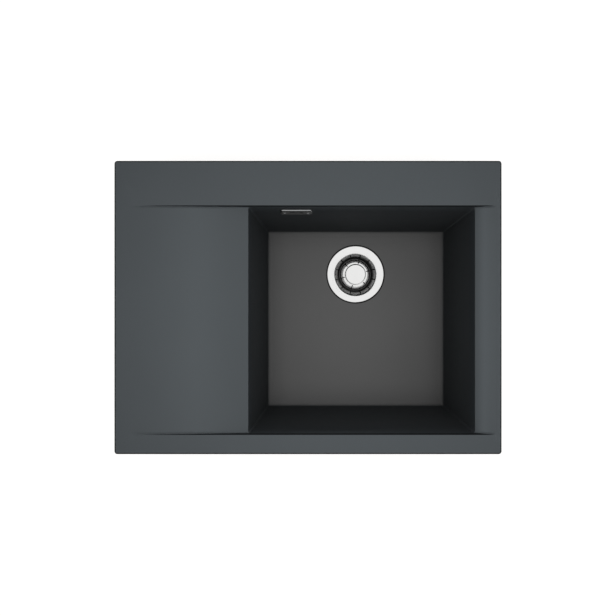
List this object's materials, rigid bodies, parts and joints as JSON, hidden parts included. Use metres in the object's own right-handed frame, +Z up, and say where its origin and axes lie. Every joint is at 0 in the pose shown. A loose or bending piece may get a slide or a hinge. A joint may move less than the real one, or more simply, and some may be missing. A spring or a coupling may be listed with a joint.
{
  "type": "inset kitchen sink with drainboard",
  "caption": "Inset composite kitchen sink: square bowl at the right, sunk drainboard at the left, strainer waste, overflow with ribbed hose, and fixing clips that swing under the worktop.",
  "frame": {"origin": "middle of the worktop cut-out on the worktop's top face", "axes": "+X to the right as used, +Y towards the rear tap ledge, +Z up"},
  "size_m": [0.66, 0.5, 0.303],
  "materials": {
    "composite": "matte",
    "foam": "matte",
    "brass": "satin",
    "zinc_steel": "satin",
    "polished_steel": "polished",
    "chrome": "polished",
    "black_rubber": "matte",
    "white_plastic": "satin",
    "grey_plastic": "satin"
  },
  "bodies": {
    "sink": {"sink_body": "composite", "rim_seal": "foam", "clip_inserts": "brass", "clip_screws": "zinc_steel", "waste_flange": "polished_steel", "flange_gasket": "black_rubber", "waste_bolt": "polished_steel", "bolt_insert": "brass", "waste_body": "white_plastic", "waste_tail": "white_plastic", "body_gasket": "black_rubber", "overflow_cover": "chrome", "overflow_screws": "chrome", "overflow_gasket": "black_rubber", "overflow_head": "white_plastic", "overflow_hose": "grey_plastic", "hose_nut_upper": "white_plastic", "hose_nut_lower": "white_plastic", "hose_seal_upper": "black_rubber", "hose_seal_lower": "black_rubber"},
    "strainer": {"basket": "polished_steel", "basket_knob": "polished_steel", "basket_stem": "polished_steel", "basket_seal": "black_rubber"},
    "clip_rear_left_claw": {"clip_rear_left": "zinc_steel"},
    "clip_rear_middle_claw": {"clip_rear_middle": "zinc_steel"},
    "clip_rear_right_claw": {"clip_rear_right": "zinc_steel"},
    "clip_front_left_claw": {"clip_front_left": "zinc_steel"},
    "clip_front_middle_claw": {"clip_front_middle": "zinc_steel"},
    "clip_front_right_claw": {"clip_front_right": "zinc_steel"},
    "clip_left_claw": {"clip_left": "zinc_steel"},
    "clip_right_claw": {"clip_right": "zinc_steel"}
  },
  "joints": [
    {"name": "basket_lift", "type": "slide", "parent": "sink", "child": "strainer", "axis": [0, 0, 1], "range_m": [0, 0.25]},
    {"name": "clip_rear_left_swing", "type": "hinge", "parent": "sink", "child": "clip_rear_left_claw", "pos_m": [-0.235, 0.233, -0.0537], "axis": [0, 0, 1], "range_deg": [0, 90]},
    {"name": "clip_rear_middle_swing", "type": "hinge", "parent": "sink", "child": "clip_rear_middle_claw", "pos_m": [0.0296, 0.233, -0.0537], "axis": [0, 0, 1], "range_deg": [0, 90]},
    {"name": "clip_rear_right_swing", "type": "hinge", "parent": "sink", "child": "clip_rear_right_claw", "pos_m": [0.235, 0.233, -0.0537], "axis": [0, 0, 1], "range_deg": [0, 90]},
    {"name": "clip_front_left_swing", "type": "hinge", "parent": "sink", "child": "clip_front_left_claw", "pos_m": [-0.235, -0.233, -0.0537], "axis": [0, 0, 1], "range_deg": [0, 90]},
    {"name": "clip_front_middle_swing", "type": "hinge", "parent": "sink", "child": "clip_front_middle_claw", "pos_m": [0, -0.233, -0.0537], "axis": [0, 0, 1], "range_deg": [0, 90]},
    {"name": "clip_front_right_swing", "type": "hinge", "parent": "sink", "child": "clip_front_right_claw", "pos_m": [0.235, -0.233, -0.0537], "axis": [0, 0, 1], "range_deg": [0, 90]},
    {"name": "clip_left_swing", "type": "hinge", "parent": "sink", "child": "clip_left_claw", "pos_m": [-0.313, 0, -0.0537], "axis": [0, 0, 1], "range_deg": [0, 90]},
    {"name": "clip_right_swing", "type": "hinge", "parent": "sink", "child": "clip_right_claw", "pos_m": [0.313, 0, -0.0537], "axis": [0, 0, 1], "range_deg": [0, 90]}
  ]
}
